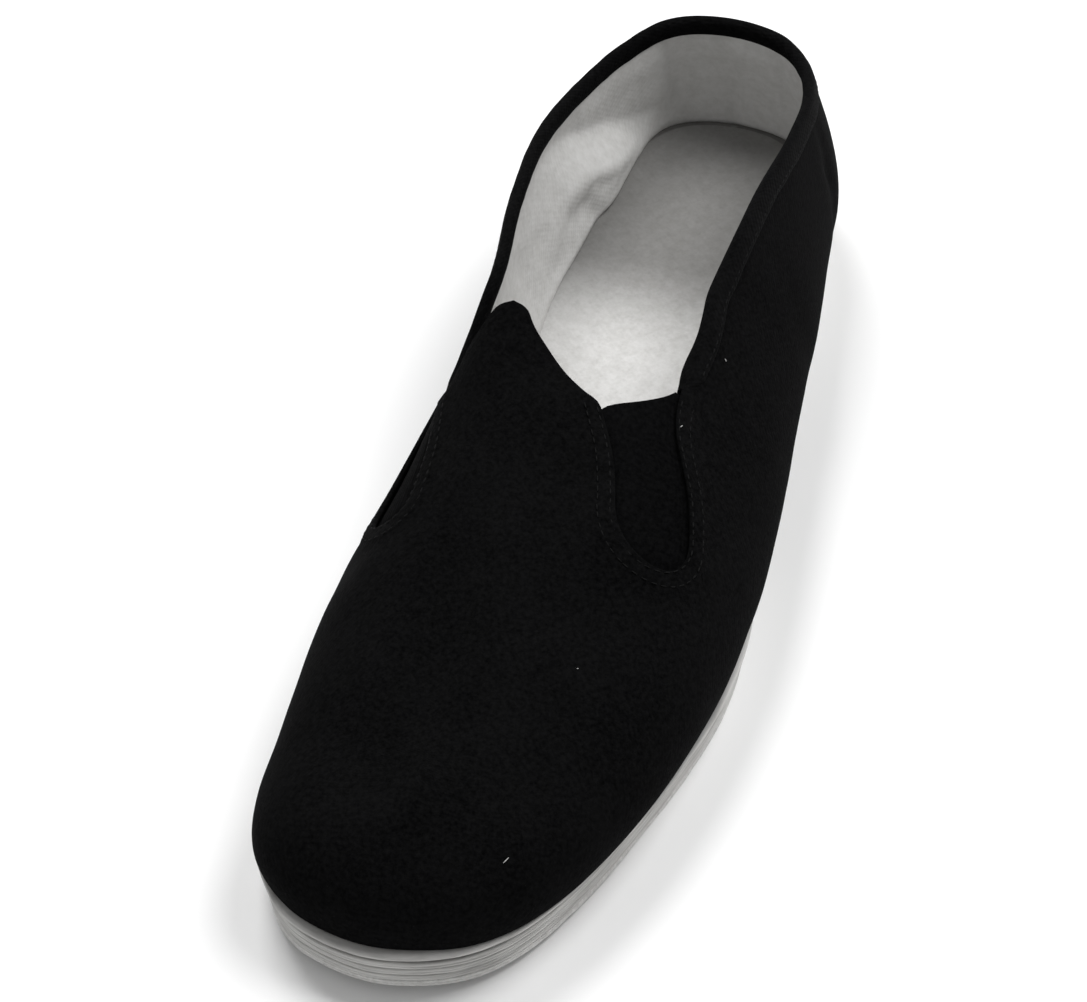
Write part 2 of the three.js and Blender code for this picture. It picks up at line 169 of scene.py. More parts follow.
sky = bpy.data.worlds.new("sky")
sky.use_nodes = True
sky.node_tree.nodes["Background"].inputs["Color"].default_value = (1, 1, 1, 1)
sky.node_tree.nodes["Background"].inputs["Strength"].default_value = SKY_STRENGTH
scene.world = sky
scene.view_settings.view_transform = "Standard"


# The sole is five layers of white cotton cloth, each layer a pad of folded cloth with a bound edge,
# pressed and sewn through. The top layer's rim stands a little proud, over a groove darkened with painted
# shade.
SOLE_LENGTH = 270
BALL_WIDTH = 92
PLY_COUNT = 5
PLY_THICK = 2.05
CLEAR = 0.3
TOE_SPRING = 3.2
SPRING_FROM = 0.72
SOLE_TAPER = 2.2
SOLE_TOP = PLY_COUNT * PLY_THICK + (PLY_COUNT - 1) * CLEAR
SOLE_PALE = (0.59, 0.585, 0.57)
SOLE_DARK = (0.34, 0.335, 0.325)
TREAD_PALE = (0.66, 0.655, 0.64)
STEPS_PER_SECTION = 12

# Sections of the last from heel to toe: share of the length, half widths and crest as shares of the
# ball width, ridge as a share of the instep height, swell of the side walls, roundness.
SECTION_COLUMNS = ("along", "lateral", "medial", "ridge", "crest", "lateral_swell", "medial_swell", "round")
SECTION_ROWS = (
    (0.0, 0.0, 0.0, 1.46, 0.0, 0.15, 0.15, 1.9),
    (0.012, 0.165, 0.165, 1.46, 0.0, 0.15, 0.15, 1.9),
    (0.05, 0.272, 0.27, 1.46, 0.0, 0.3, 0.15, 1.95),
    (0.11, 0.339, 0.339, 1.45, 0.01, 0.45, 0.18, 2.1),
    (0.19, 0.366, 0.375, 1.42, 0.03, 0.6, 0.3, 2.3),
    (0.29, 0.38, 0.359, 1.34, 0.07, 0.96, 0.5, 2.3),
    (0.39, 0.407, 0.322, 1.16, 0.15, 1.05, 0.5, 2.3),
    (0.49, 0.459, 0.332, 0.975, 0.215, 0.96, 0.6, 2.3),
    (0.58, 0.518, 0.389, 0.839, 0.12, 0.54, 0.42, 2.3),
    (0.66, 0.527, 0.461, 0.733, 0.055, 0.31, 0.2, 2.3),
    (0.74, 0.487, 0.48, 0.632, 0.03, 0.34, 0.1, 2.4),
    (0.82, 0.424, 0.467, 0.528, 0.02, 0.32, 0.12, 2.4),
    (0.895, 0.342, 0.444, 0.434, 0.01, 0.24, 0.16, 2.5),
    (0.95, 0.25, 0.362, 0.392, 0.0, 0.15, 0.16, 2.5),
    (0.985, 0.122, 0.243, 0.371, 0.0, 0.05, 0.05, 2.5),
    (1.0, -0.061, 0.061, 0.371, 0.0, 0.05, 0.05, 2.5),
)

# How far in from the sole's edge the upper's foot lies on the outer and inner side, as a share of the
# welt, and the lowest layer, as a share of the taper.
EDGE_ROWS = (
    (0.0, 1, 1, 1, 1),
    (0.6, 1, 1, 1, 1),
    (0.7, 0.5, 1, 1.15, 1),
    (0.8, -0.2, 1, 1.3, 0.9),
    (0.89, -0.4, 0.8, 1.0, 0.6),
    (0.94, 0.1, 0.2, 0.85, 0.45),
    (0.975, 0.6, 0.9, 0.65, 0.4),
    (1.0, 1.3, 1.3, 0.5, 0.5),
)
WELT = 1.5
Section = namedtuple("Section", SECTION_COLUMNS)
SECTIONS = [Section(*row) for row in SECTION_ROWS]
LAST_ROW = len(SECTIONS) - 1


def mix(a, b, f):
    return a + (b - a) * f


def clamp(f, low=0.0, high=1.0):
    return max(low, min(high, f))


def smooth(f):
    g = clamp(f)
    return g * g * (3 - 2 * g)


def catmull(a, b, c, d, f):
    square = 2 * a - 5 * b + 4 * c - d
    cube = 3 * b - a - 3 * c + d
    return 0.5 * (2 * b + (c - a) * f + square * f * f + cube * f ** 3)


def lookup(rows, column, value):
    """Value of a column of a small table at a value of its first column, smooth between rows."""
    last = len(rows) - 1
    if value <= rows[0][0]:
        return rows[0][column]
    if value >= rows[last][0]:
        return rows[last][column]
    k = next(i for i in range(len(rows)) if rows[i][0] > value) - 1
    f = (value - rows[k][0]) / (rows[k + 1][0] - rows[k][0])
    return catmull(*(rows[min(last, max(0, k + step))][column] for step in (-1, 0, 1, 2)), f)


def section_row(i):
    """A row of the table. Beyond either tip it is the neighbour seen from the other side."""
    if 0 <= i <= LAST_ROW:
        return SECTIONS[i]
    near = SECTIONS[1] if i < 0 else SECTIONS[LAST_ROW - 1]
    return near._replace(lateral=-near.medial, medial=-near.lateral)


@lru_cache(None)
def section(row):
    k = int(clamp(math.floor(row), 0, LAST_ROW - 1))
    rows = [section_row(k + step) for step in (-1, 0, 1, 2)]
    return Section(*(catmull(*column, row - k) for column in zip(*rows)))


@lru_cache(None)
def row_at(along):
    low, high = 0, LAST_ROW
    for _ in range(36):
        middle = (low + high) / 2
        if section(middle).along < along:
            low = middle
        else:
            high = middle
    return (low + high) / 2


def lengthwise(along):
    return SOLE_LENGTH * (0.5 - along)


def spring(along):
    return TOE_SPRING * max(0, (along - SPRING_FROM) / (1 - SPRING_FROM)) ** 2


@lru_cache(None)
def outline(sign, row, grow):
    """Point of the sole's edge on one side, moved outwards, and its share of the length."""
    step = 0.01

    def across(r):
        return (section(r).lateral if sign > 0 else -section(r).medial) * BALL_WIDTH

    dx = across(row + step) - across(row - step)
    dy = lengthwise(section(row + step).along) - lengthwise(section(row - step).along)
    scale = grow * sign / math.hypot(dx, dy)
    along = section(row).along
    return across(row) - dy * scale, lengthwise(along) + dx * scale, along


def edge_share(sign, along, kind):
    """Share of the welt (kind 0) or of the taper (kind 1) on one side."""
    return lookup(EDGE_ROWS, 1 + 2 * kind + (0 if sign > 0 else 1), along)


def seat(sign, row, grow):
    """Point of the line where the upper's foot stands, moved outwards."""
    return outline(sign, row, grow - WELT * edge_share(sign, section(row).along, 0))


def middle_of(values):
    return (min(values) + max(values)) / 2


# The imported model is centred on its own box, so its top ply says where the sole's middle line lies.
ply_low, ply_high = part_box(f"sole_ply_{PLY_COUNT}")
rim_points = [outline(sign, row / 3, 0) for sign in (1, -1) for row in range(3 * LAST_ROW + 1)]
shift_x = (ply_low.x + ply_high.x) / 2 / MM - middle_of([point[0] for point in rim_points])
shift_y = (ply_low.y + ply_high.y) / 2 / MM - middle_of([point[1] for point in rim_points])


def at(x, y, z):
    """A point given in millimetres from the middle of the sole, in the frame."""
    return Vector(((x + shift_x) * MM, (y + shift_y) * MM, z * MM))


def patch(bm, rows, columns, place, shade=None):
    """A grid laid on the shoe. place(i, j) gives a point and its place on the flat cloth, in metres.

    shade(i, j) says how much painted shade darkens the cloth there, from 0 to 1.
    """
    bmesh.ops.create_grid(bm, x_segments=columns, y_segments=rows, size=1)
    cloth_map = bm.loops.layers.uv.verify()
    shade_paint = bm.verts.layers.float.get("shade") or bm.verts.layers.float.new("shade")
    made = [vert for vert in bm.verts if not vert.tag]
    spots = {}
    for vert in made:
        i = round((vert.co.y + 1) / 2 * rows)
        j = round((vert.co.x + 1) / 2 * columns)
        vert.co, spots[vert] = place(i, j)
        vert[shade_paint] = shade(i, j) if shade else 0
        vert.tag = True
    for face in {face for vert in made for face in vert.link_faces}:
        for loop in face.loops:
            loop[cloth_map].uv = spots[loop.vert]


def close_up(bm, gap=0.004):
    """Join what meets, drop what has no area, and turn the faces outwards."""
    bmesh.ops.remove_doubles(bm, verts=bm.verts, dist=gap * MM)
    bmesh.ops.dissolve_degenerate(bm, edges=bm.edges, dist=0.5 * gap * MM)
    bmesh.ops.recalc_face_normals(bm, faces=bm.faces)


def ripple(x, y, z, size, seed):
    """Soft unevenness from -1 to 1, with features of about that size in millimetres."""
    return noise.noise(Vector((x / size + seed * 7.3, y / size, z / size)))


# Side of a layer from its bottom to its top: how far it lies in from its outline, and how high.
PLY_SIDE = (
    (1.1, 0.0), (0.55, 0.03), (0.2, 0.16), (0.04, 0.42), (0.0, 0.7), (0.1, 0.93), (0.26, 1.03),
    (0.1, 1.13), (0.0, 1.38), (0.04, 1.66), (0.2, 1.9), (0.55, 2.02), (1.1, 2.05),
)
RIM_SIDE = (
    (2.0, 0.0), (1.3, 0.05), (0.8, 0.2), (0.75, 0.4), (1.2, 0.62), (1.75, 0.86), (1.6, 1.05),
    (0.5, 1.16), (-0.02, 1.3), (-0.2, 1.52), (-0.16, 1.78), (0.15, 1.97), (1.0, 2.05),
)
# Unevenness of a layer's side: how far it wanders in and out, broadly and finely, and up and down.
PLY_WANDER = 0.22
PLY_WANDER_FINE = 0.1
PLY_WAVE = 0.13
STITCH_EDGE = 3.4
STITCH_ROW = 4.7
QUILT_DEPTH = 0.32


def tread_edge(sign, row, inwards):
    """Point of the lowest layer's outline on one side, moved inwards."""
    taper = SOLE_TAPER * edge_share(sign, section(row).along, 1)
    return outline(sign, row, round(-taper - inwards, 5))


EDGE_STEPS = 60
edge_points = []
for sign in (1, -1):
    for step in range(LAST_ROW * EDGE_STEPS + 1):
        edge_points.append(tread_edge(sign, step / EDGE_STEPS, 0)[:2])
edge_tree = KDTree(len(edge_points))
for k, (x, y) in enumerate(edge_points):
    edge_tree.insert((x, y, 0), k)
edge_tree.balance()


def from_edge(x, y):
    return edge_tree.find((x, y, 0))[2]


def quilt(x, y):
    """How far the sewing has pulled the tread in, least halfway between two rows of stitches."""
    inwards = from_edge(x, y)
    wave = 0.5 + 0.5 * math.cos(2 * math.pi * (inwards - STITCH_EDGE) / STITCH_ROW)
    return QUILT_DEPTH * wave * smooth(inwards / STITCH_EDGE)


def cotton_ply(ply, across):
    """One layer as a closed ring of points for each row from heel to toe."""
    floor_height = ply * (PLY_THICK + CLEAR)
    drawn = SOLE_TAPER * (1 - ply / (PLY_COUNT - 1)) ** 0.8
    side_shape = RIM_SIDE if ply == PLY_COUNT - 1 else PLY_SIDE
    sides = len(side_shape)
    columns = 2 * (sides + across)
    rows = LAST_ROW * STEPS_PER_SECTION

    def side_point(sign, row, k):
        deep, high = side_shape[k]
        inset = drawn * edge_share(sign, section(row).along, 1)
        x, y, along = outline(sign, row, round(-inset, 5))
        wander = PLY_WANDER * ripple(x, y, 0, 16, ply) + PLY_WANDER_FINE * ripple(x, y, 0, 4, ply + 9)
        x, y, along = outline(sign, row, round(wander - inset - deep, 5))
        lift = PLY_WAVE * ripple(x, y, 0, 22, ply + 20) * math.sin(math.pi * high / PLY_THICK)
        return x, y, floor_height + high + lift + spring(along)

    def place(i, j):
        row = i / STEPS_PER_SECTION
        j %= columns
        if j < sides:
            x, y, z = side_point(1, row, j)
        elif j < sides + across:
            f = (j - sides + 1) / (across + 1)
            a, b = side_point(1, row, sides - 1), side_point(-1, row, sides - 1)
            x, y, z = (mix(a[k], b[k], f) for k in range(3))
        elif j < 2 * sides + across:
            x, y, z = side_point(-1, row, 2 * sides + across - 1 - j)
        else:
            f = (j - 2 * sides - across + 1) / (across + 1)
            a, b = side_point(-1, row, 0), side_point(1, row, 0)
            x, y, z = (mix(a[k], b[k], f) for k in range(3))
            if ply == 0:
                z += quilt(x, y)
        return at(x, y, z), (x * MM, y * MM)

    def painted_groove_shade(i, j):
        """Painted shade: the side is darker where it goes in between two layers and under the top layer's
        rim.
        """
        j %= columns
        if sides <= j < sides + across or j >= 2 * sides + across:
            return 0
        deep, high = side_shape[j if j < sides else 2 * sides + across - 1 - j]
        if ply == PLY_COUNT - 1:
            return 0.85 * smooth((deep - 0.3) / 0.9) if high < 1.2 else 0
        return 0.42 * smooth((deep - 0.1) / 0.7) * (0.55 + 0.9 * ripple(i, high * 9, 0, 9, ply + 30))

    bm = bmesh.new()
    patch(bm, rows, columns, place, painted_groove_shade)
    close_up(bm)
    return link_piece(f"cotton_layer_{ply + 1}", bm)


def fibre_group():
    """Loose cotton fibre and cloth: a tone and a height that change over the surface."""
    made = bpy.data.node_groups.new("cotton_fibre", "ShaderNodeTree")
    made.interface.new_socket("Fine", in_out="INPUT", socket_type="NodeSocketFloat")
    made.interface.new_socket("Stretch", in_out="INPUT", socket_type="NodeSocketVector")
    made.interface.new_socket("Tone", in_out="OUTPUT", socket_type="NodeSocketFloat")
    made.interface.new_socket("Height", in_out="OUTPUT", socket_type="NodeSocketFloat")
    inside = node(made, "NodeGroupInput")
    outside = node(made, "NodeGroupOutput")
    place = node(made, "ShaderNodeTexCoord").outputs["Object"]
    stretched = node(made, "ShaderNodeVectorMath", operation="MULTIPLY")
    feed(made, stretched.inputs[0], place)
    feed(made, stretched.inputs[1], inside.outputs["Stretch"])
    small = node(made, "ShaderNodeTexNoise")
    feed(made, small.inputs["Vector"], stretched.outputs[0])
    feed(made, small.inputs["Scale"], inside.outputs["Fine"])
    feed(made, small.inputs["Detail"], 4.0)
    feed(made, small.inputs["Roughness"], 0.65)
    broad = node(made, "ShaderNodeTexNoise")
    feed(made, broad.inputs["Vector"], place)
    feed(made, broad.inputs["Scale"], 38.0)
    feed(made, broad.inputs["Detail"], 3.0)
    both = node(made, "ShaderNodeMix", data_type="FLOAT")
    feed(made, both.inputs[0], 0.3)
    feed(made, both.inputs[2], small.outputs["Fac"])
    feed(made, both.inputs[3], broad.outputs["Fac"])
    feed(made, outside.inputs["Tone"], both.outputs[0])
    feed(made, outside.inputs["Height"], small.outputs["Fac"])
    return made


def weave_group():
    """Plain weave: threads over and under each other, on the piece's own flat map in metres."""
    made = bpy.data.node_groups.new("plain_weave", "ShaderNodeTree")
    made.interface.new_socket("Threads", in_out="INPUT", socket_type="NodeSocketFloat")
    made.interface.new_socket("Height", in_out="OUTPUT", socket_type="NodeSocketFloat")
    inside = node(made, "NodeGroupInput")
    outside = node(made, "NodeGroupOutput")
    spread = node(made, "ShaderNodeVectorMath", operation="SCALE")
    feed(made, spread.inputs[0], node(made, "ShaderNodeUVMap").outputs["UV"])
    feed(made, spread.inputs["Scale"], inside.outputs["Threads"])
    apart = node(made, "ShaderNodeSeparateXYZ")
    feed(made, apart.inputs[0], spread.outputs[0])
    waves = []
    for axis in ("X", "Y"):
        wave = node(made, "ShaderNodeMath", operation="SINE")
        feed(made, wave.inputs[0], apart.outputs[axis])
        waves.append(wave.outputs[0])
    woven = node(made, "ShaderNodeMath", operation="MULTIPLY")
    feed(made, woven.inputs[0], waves[0])
    feed(made, woven.inputs[1], waves[1])
    feed(made, outside.inputs["Height"], woven.outputs[0])
    return made


# Dark grey towards which painted shade darkens the cloth.
SHADE_PAINT = (0.12, 0.118, 0.112, 1)
FIBRE = fibre_group()
WEAVE = weave_group()


def cloth_material(name, dark, pale, fine, depth, stretch=(1, 1, 1), threads=0, weave_depth=0, sheen=0.0,
                   rough=0.95, gloss=0.2):
    """Cloth between two colours, with its fibre and, where threads is given, its weave as relief."""
    made = bpy.data.materials.new(name)
    made.use_nodes = True
    tree = made.node_tree
    shader = tree.nodes["Principled BSDF"]
    fibre = node(tree, "ShaderNodeGroup", node_tree=FIBRE)
    feed(tree, fibre.inputs["Fine"], fine)
    feed(tree, fibre.inputs["Stretch"], stretch)
    ramp = node(tree, "ShaderNodeValToRGB")
    ramp.color_ramp.elements[0].position = 0.34
    ramp.color_ramp.elements[0].color = (*dark, 1)
    ramp.color_ramp.elements[1].position = 0.62
    ramp.color_ramp.elements[1].color = (*pale, 1)
    feed(tree, ramp.inputs[0], fibre.outputs["Tone"])
    # The shade attribute multiplies the colour towards a dark grey: painted shade.
    shade_paint = node(tree, "ShaderNodeAttribute", attribute_name="shade")
    shade_painted = node(tree, "ShaderNodeMix", data_type="RGBA", blend_type="MULTIPLY")
    feed(tree, shade_painted.inputs[0], shade_paint.outputs["Fac"])
    feed(tree, shade_painted.inputs[6], ramp.outputs["Color"])
    feed(tree, shade_painted.inputs[7], SHADE_PAINT)
    feed(tree, shader.inputs["Base Color"], shade_painted.outputs[2])
    bump = node(tree, "ShaderNodeBump")
    feed(tree, bump.inputs["Height"], fibre.outputs["Height"])
    feed(tree, bump.inputs["Strength"], 0.6)
    feed(tree, bump.inputs["Distance"], depth * MM)
    relief = bump.outputs["Normal"]
    if threads:
        weave = node(tree, "ShaderNodeGroup", node_tree=WEAVE)
        feed(tree, weave.inputs["Threads"], threads)
        over = node(tree, "ShaderNodeBump")
        feed(tree, over.inputs["Height"], weave.outputs["Height"])
        feed(tree, over.inputs["Strength"], 0.5)
        feed(tree, over.inputs["Distance"], weave_depth * MM)
        feed(tree, over.inputs["Normal"], relief)
        relief = over.outputs["Normal"]
    feed(tree, shader.inputs["Normal"], relief)
    shader.inputs["Roughness"].default_value = rough
    shader.inputs["Specular IOR Level"].default_value = gloss
    shader.inputs["Sheen Weight"].default_value = sheen
    shader.inputs["Sheen Roughness"].default_value = 0.6
    return made


def threads_per(pitch):
    """Turns of the weave's wave in a metre for threads that far apart in millimetres."""
    return 2 * math.pi / (2 * pitch * MM)


layer_cotton = cloth_material("layer_cotton", SOLE_DARK, SOLE_PALE, 1300, 0.35, stretch=(0.04, 0.04, 1.0),
                              rough=0.9)
tread_cotton = cloth_material("tread_cotton", (0.5, 0.495, 0.48), TREAD_PALE, 700, 0.2,
                              threads=threads_per(0.7), weave_depth=0.12, rough=0.9)
for ply in range(PLY_COUNT):
    piece = cotton_ply(ply, 78 if ply == 0 else 6)
    piece.data.materials.append(tread_cotton if ply == 0 else layer_cotton)
    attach(piece, "root")
    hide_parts(f"sole_ply_{ply + 1}")


# The layers are sewn through by hand with thick white thread, in rows that follow the outline at the
# heel and toe and run together in the waist. Each stitch ends in a small needle hole, drawn as a flat dark
# disc of painted shade.
STITCH_PITCH = 7.0
STITCH_LONG = 5.3
STITCH_WIDE = 1.25
STITCH_HIGH = 0.42
HOLE_WIDE = 0.8
STITCH_ROWS = 10
WALK_STEPS = 40
THREAD_COLOR = (0.84, 0.83, 0.81)

stitches = bmesh.new()
holes = bmesh.new()


def bead(bm, middle, forward, outward, long, wide, high):
    """One stitch: a low rounded bead of thread that lies along the seam."""
    sideways = outward.cross(forward).normalized()
    axes = Matrix((forward * long, sideways * wide, outward * high)).transposed() * (MM / 2)
    laid = Matrix.Translation(middle) @ axes.to_4x4()
    bmesh.ops.create_uvsphere(bm, u_segments=6, v_segments=4, radius=1, matrix=laid)


def tread_row(inwards, start):
    """Stitches at one distance in from the edge, all the way round."""
    loop = [(1, step / WALK_STEPS) for step in range(LAST_ROW * WALK_STEPS + 1)]
    loop += [(-1, row) for _, row in reversed(loop)]
    walked = start
    last = None
    for sign, row in loop:
        x, y, along = tread_edge(sign, row, inwards)
        if from_edge(x, y) < inwards - 0.12:
            last = None
            continue
        here = Vector((x, y, 0))
        if last is not None:
            stride = (here - last).length
            walked += stride
            if walked >= STITCH_PITCH and stride > 0:
                walked -= STITCH_PITCH
                forward = (here - last).normalized()
                middle = at(x, y, spring(along) + QUILT_DEPTH - 0.02)
                bead(stitches, middle, forward, Vector((0, 0, -1)), STITCH_LONG, STITCH_WIDE, STITCH_HIGH)
                end = at(x + forward.x * STITCH_PITCH / 2, y + forward.y * STITCH_PITCH / 2,
                         spring(along) + QUILT_DEPTH - 0.06)
                bmesh.ops.create_circle(holes, cap_ends=True, segments=8, radius=HOLE_WIDE / 2 * MM,
                                        matrix=Matrix.Translation(end) @ Matrix.Rotation(math.pi, 4, "X"))
        last = here


for k in range(STITCH_ROWS):
    tread_row(STITCH_EDGE + k * STITCH_ROW, STITCH_PITCH / 2 * (k % 2))

white_thread = cloth_material("white_thread", (0.74, 0.735, 0.72), THREAD_COLOR, 1500, 0.15, rough=0.8)
# A needle hole is a flat dark disc: painted shade where the hole would lie in shadow.
needle_hole_shade = cloth_material("needle_hole_shade", (0.05, 0.05, 0.048), (0.12, 0.118, 0.115), 900, 0.1)
for name, bm, material in (("sole_stitches", stitches, white_thread), ("needle_hole_shades", holes, needle_hole_shade)):
    piece = link_piece(name, bm)
    piece.data.materials.append(material)
    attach(piece, "root")


# The insole is a white cotton sock on a thin pad, glued on the sole inside the upper. It has soft
# creases across the waist, and painted shade darkens it under the heel and along its rim.
WALL = 2
INSOLE_EDGE = ((0.5, 0.0), (0.0, 0.4), (0.0, 1.5), (0.3, 2.1), (0.9, 2.45), (2.0, 2.6))
LINING_COLOR = (0.66, 0.655, 0.645)
# Painted shade on the sock: how dark it is under the heel, where along it starts and how long it fades in.
HEEL_SHADE = 0.78
SHADE_FROM = 47
SHADE_LONG = 36
# Painted shade along the sock's rim where the lining stands over it: share of the way to full darkness.
RIM_SHADE = 0.6

# Creases of the sock: where they start and end, how wide and how deep they are.
INSOLE_CREASES = (
    ((-24, -2), (4, 6), 2.2, 0.8),
    ((-20, -12), (12, -8), 2.6, 0.6),
    ((-6, 14), (16, 12), 3.4, 0.35),
    ((-22, 26), (-6, 22), 3.8, 0.35),
    ((4, 62), (20, 74), 5.0, 0.3),
)


def trough(x, y, creases):
    """Depth of soft creases at a place, each fading out towards its ends."""
    depth = 0
    for (x1, y1), (x2, y2), wide, deep in creases:
        long = math.hypot(x2 - x1, y2 - y1)
        along = ((x - x1) * (x2 - x1) + (y - y1) * (y2 - y1)) / long
        aside = ((y - y1) * (x2 - x1) - (x - x1) * (y2 - y1)) / long
        bow = 0.06 * long * math.sin(math.pi * clamp(along / long))
        ends = smooth((along + wide) / (2 * wide)) * smooth((long - along + wide) / (2 * wide))
        depth += deep * ends * math.exp(-((aside - bow) / wide) ** 2)
    return depth


def insole_piece():
    across = 44
    sides = len(INSOLE_EDGE)
    columns = 2 * sides + across

    def edge(sign, row, k):
        deep, high = INSOLE_EDGE[k]
        x, y, along = seat(sign, row, -WALL - CLEAR - deep)
        return x, y, SOLE_TOP + CLEAR + high + spring(along)

    def place(i, j):
        row = i / STEPS_PER_SECTION
        if j < sides:
            x, y, z = edge(1, row, j)
        elif j < sides + across:
            f = (j - sides + 1) / (across + 1)
            a, b = edge(1, row, sides - 1), edge(-1, row, sides - 1)
            x, y, z = (mix(a[k], b[k], f) for k in range(3))
            z += 0.25 * ripple(x, y, 0, 26, 3) - trough(x, y, INSOLE_CREASES)
        else:
            x, y, z = edge(-1, row, max(0, columns - 1 - j))
        return at(x, y, z), (x * MM, y * MM)

    # Painted shade on the sock: darker towards the heel, and darker still along its rim beside the lining.
    def painted_shade(i, j):
        y = lengthwise(section(i / STEPS_PER_SECTION).along)
        heel_shade = HEEL_SHADE * smooth((y - SHADE_FROM) / SHADE_LONG)
        return heel_shade if sides <= j < sides + across else mix(heel_shade, 1, RIM_SHADE)

    bm = bmesh.new()
    patch(bm, LAST_ROW * STEPS_PER_SECTION, columns - 1, place, painted_shade)
    close_up(bm)
    rim = [edge for edge in bm.edges if edge.is_boundary]
    bmesh.ops.holes_fill(bm, edges=rim, sides=0)
    bmesh.ops.recalc_face_normals(bm, faces=bm.faces)
    return link_piece("insole_sock", bm)


sock_cotton = cloth_material("sock_cotton", (0.54, 0.535, 0.52), LINING_COLOR, 520, 0.18,
                             threads=threads_per(0.9), weave_depth=0.03)
piece = insole_piece()
piece.data.materials.append(sock_cotton)
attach(piece, "root")
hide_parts("insole")


# The upper's face is one thickness of black brushed cotton, cut out for two gores and a tongue between
# them. Its lower edge is turned in and sewn to the sole, and a raised hem is stitched round each gore.
INSTEP_HEIGHT = 56
COLLAR_HEIGHT = 44
SIDE_SWELL = 9
SWELL_HEIGHT = 14
SPINE_HEEL = 0.105
SPINE_TOE = 0.875
SPINE_EASE = 0.025
TONGUE_TIP = 0.462
THROAT = 0.529
QUARTER_FRONT = 0.474
CORNER_SETBACK = 1.8
COLLAR_DIP = 0.385
TONGUE_SPREAD = 1.15
GORE_END = 0.648
GORE_SHOULDER = 2.5
HEM_WIDE = 5
HEM_RISE = 0.6
HEM_SOFT = 1.2
CLOTH_THICK = 1.1
Side = namedtuple("Side", ("name", "sign", "tongue_half", "gore_width"))
LATERAL = Side("lateral", 1, 22.5, 19)
MEDIAL = Side("medial", -1, 22, 12)

# Height of the collar over the sole on each side, as a share of the collar height.
COLLAR_ROWS = (
    (0.0, 0.81, 0.81), (0.06, 0.85, 0.78), (0.16, 0.99, 0.85), (0.27, 1.12, 0.99), (0.38, 1.1, 1.01),
    (0.46, 0.99, 0.91),
)

# Free edge of the tongue as a share of its half width, from its tip (0) to the throat (1).
TONGUE_ROWS = (
    (0.0, 0.0), (0.03, 0.12), (0.1, 0.19), (0.21, 0.25), (0.34, 0.34), (0.49, 0.46), (0.64, 0.57),
    (0.79, 0.69), (0.92, 0.85), (1.0, 1.0),
)
Rib = namedtuple("Rib", ("foot_x", "foot_y", "x", "y", "base", "peak", "rise", "swell", "round"))


def spine_at(along):
    from_heel = (along + SPINE_HEEL + math.hypot(along - SPINE_HEEL, 2 * SPINE_EASE)) / 2
    return (from_heel + SPINE_TOE - math.hypot(from_heel - SPINE_TOE, 2 * SPINE_EASE)) / 2


@lru_cache(None)
def rib(sign, row, grow):
    """A rib of the last from the sole's edge up to the ridge, with the last grown by a distance."""
    sign = sign if 0 < row < LAST_ROW else 1
    foot_x, foot_y, along = seat(sign, row, grow)
    spine_along = spine_at(along)
    spine = section(row_at(spine_along))
    here = section(row)
    base = SOLE_TOP + CLEAR + spring(along)
    peak = SOLE_TOP + CLEAR + spring(spine_along) + spine.ridge * INSTEP_HEIGHT + grow
    swell = (here.lateral_swell if sign > 0 else here.medial_swell) * SIDE_SWELL
    x = ((spine.lateral - spine.medial) / 2 - spine.crest) * BALL_WIDTH
    return Rib(foot_x, foot_y, x, lengthwise(spine_along), base, peak, peak - base, swell, spine.round)


def rib_point(r, turn):
    """Point of a rib, with turn 0 at the sole and 1 at the ridge."""
    if turn >= 1:
        return Vector((r.x, r.y, r.peak))
    angle = max(0, turn) * math.pi / 2
    out = math.cos(angle) ** (2 / r.round)
    height = r.rise * math.sin(angle) ** (2 / r.round)
    dx = r.foot_x - r.x
    dy = r.foot_y - r.y
    rising = height / SWELL_HEIGHT
    bulge = r.swell * rising * math.exp(1 - rising) * (1 - turn ** 4) / math.hypot(dx, dy)
    return Vector((r.x + dx * (out + bulge), r.y + dy * (out + bulge), r.base + height))


GIRTH_STEPS = 90


@lru_cache(None)
def girths(r):
    """Distances round the foot from the ridge down to each of the rib's steps."""
    totals = [0.0]
    above = rib_point(r, 1)
    for step in range(1, GIRTH_STEPS + 1):
        point = rib_point(r, 1 - step / GIRTH_STEPS)
        totals.append(totals[-1] + (point - above).length)
        above = point
    return totals


def girth_to(r, turn):
    totals = girths(r)
    steps = (1 - turn) * GIRTH_STEPS
    k = min(GIRTH_STEPS - 1, int(steps))
    return mix(totals[k], totals[k + 1], steps - k)


def turn_at_girth(r, girth):
    totals = girths(r)
    if girth <= 0:
        return 1.0
    if girth >= totals[-1]:
        return 0.0
    k = next(i for i, total in enumerate(totals) if total > girth) - 1
    return 1 - (k + (girth - totals[k]) / (totals[k + 1] - totals[k])) / GIRTH_STEPS


def turn_at_height(r, height):
    return math.asin(clamp(height / r.rise) ** (r.round / 2)) * 2 / math.pi


def tongue_edge(side, along):
    down = (along - TONGUE_TIP) / (THROAT - TONGUE_TIP)
    if down <= 1:
        return side.tongue_half * lookup(TONGUE_ROWS, 1, down)
    return side.tongue_half * mix(1, TONGUE_SPREAD, (along - THROAT) / (GORE_END - THROAT))


def quarter_edge(side, along):
    down = max(0, (along - THROAT) / (GORE_END - THROAT))
    setback = CORNER_SETBACK * smooth((THROAT - along) / (THROAT - TONGUE_TIP))
    return side.tongue_half * mix(1, TONGUE_SPREAD, down) + side.gore_width + setback


def round_end(side, along):
    """Half the slot's width that is lost to its round end."""
    radius = side.gore_width / 2
    left = (GORE_END - along) * SOLE_LENGTH
    if left >= radius:
        return 0
    return radius - math.sqrt(max(0, radius ** 2 - (radius - max(0, left)) ** 2))


